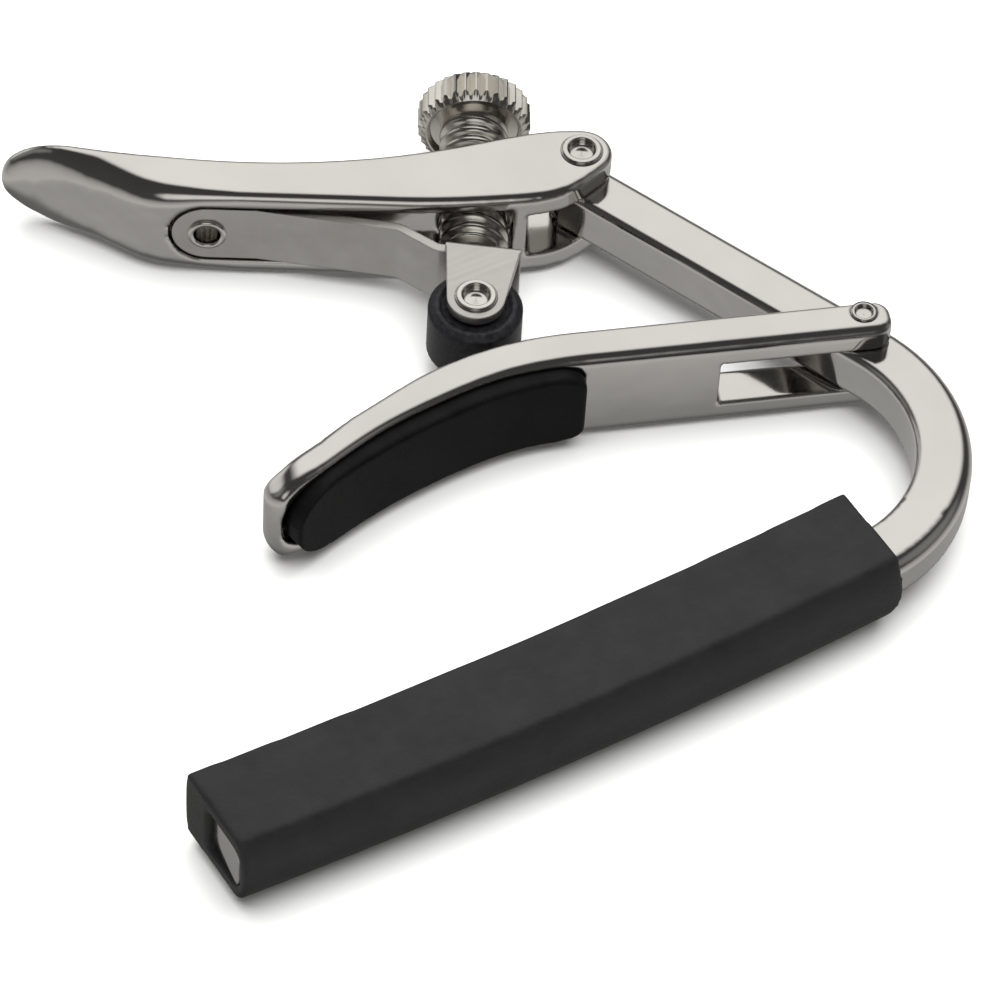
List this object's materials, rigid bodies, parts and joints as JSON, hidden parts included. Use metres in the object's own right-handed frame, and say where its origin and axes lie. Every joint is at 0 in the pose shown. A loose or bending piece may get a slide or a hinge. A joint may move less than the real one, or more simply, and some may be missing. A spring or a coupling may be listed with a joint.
{
  "type": "guitar capo",
  "caption": "Lever-action guitar capo: a bent bar in a rubber sleeve, a padded clamp arm, and a toggle lever with roller and adjusting screw.",
  "frame": {"origin": "middle of the sleeve's string face", "axes": "+X along the bar towards its bend, +Y out of the string face towards the clamp arm, +Z along the hinge pins"},
  "size_m": [0.0754, 0.0763, 0.01],
  "materials": {
    "nickel": "bright nickel plate",
    "pin_nickel": "bright nickel plate, turned",
    "spring_steel": "satin nickel plated spring strip",
    "screw_steel": "nickel plated thread",
    "sleeve_rubber": "matte extruded rubber",
    "pad_rubber": "matte moulded rubber",
    "roller_plastic": "turned acetal",
    "tip_plastic": "moulded nylon"
  },
  "bodies": {
    "frame": {"frame_bar": "nickel", "bar_sleeve": "sleeve_rubber", "lever_pin": "pin_nickel"},
    "lever": {"lever_handle": "nickel", "strap_rivet": "pin_nickel"},
    "strap": {"spring_strap": "spring_steel", "roller_pin": "pin_nickel"},
    "roller": {"roller": "roller_plastic"},
    "screw_tip": {"screw_tip": "tip_plastic"},
    "screw": {"adjusting_screw": "screw_steel", "screw_knob": "screw_steel"},
    "arm_pin": {"arm_pin": "pin_nickel"},
    "arm": {"clamp_arm": "nickel", "neck_pad": "pad_rubber"}
  },
  "joints": [
    {"name": "lever_swing", "type": "hinge", "parent": "frame", "child": "lever", "pos_m": [0.02987, 0.0423, 0], "axis": [0, 0, 1], "range_deg": [-95, 46]},
    {"name": "arm_follow", "type": "hinge", "parent": "frame", "child": "arm_pin", "pos_m": [0.0415, 0.01555, 0], "axis": [0, 0, 1], "range_deg": [-20.05, 9.76]},
    {"name": "screw_advance", "type": "slide", "parent": "lever", "child": "screw_tip", "axis": [-0.5, -0.866, 0], "range_m": [-0.0013, 0.0013]},
    {"name": "screw_spin", "type": "hinge", "parent": "screw_tip", "child": "screw", "pos_m": [0.02203, 0.04682, 0], "axis": [-0.5, -0.866, 0], "range_deg": [-360, 360]},
    {"name": "strap_flex", "type": "hinge", "parent": "lever", "child": "strap", "pos_m": [-0.00063, 0.05287, 0], "axis": [0, 0, 1], "range_deg": [-3.3, 3.3]},
    {"name": "arm_adjust", "type": "hinge", "parent": "arm_pin", "child": "arm", "pos_m": [0.0415, 0.01555, 0], "axis": [0, 0, 1], "range_deg": [-3.6, 3.6]},
    {"name": "roller_spin", "type": "hinge", "parent": "strap", "child": "roller", "pos_m": [0.01411, 0.03281, 0], "axis": [0, 0, 1], "continuous": true}
  ],
  "couplings": [
    {"joint": "arm_follow", "follows": "lever_swing", "ratio": 0.21},
    {"joint": "screw_advance", "follows": "screw_spin", "m_per_rad": 0.00019894},
    {"joint": "strap_flex", "follows": "screw_spin", "ratio": -0.0087834},
    {"joint": "arm_adjust", "follows": "screw_spin", "ratio": 0.0098}
  ]
}
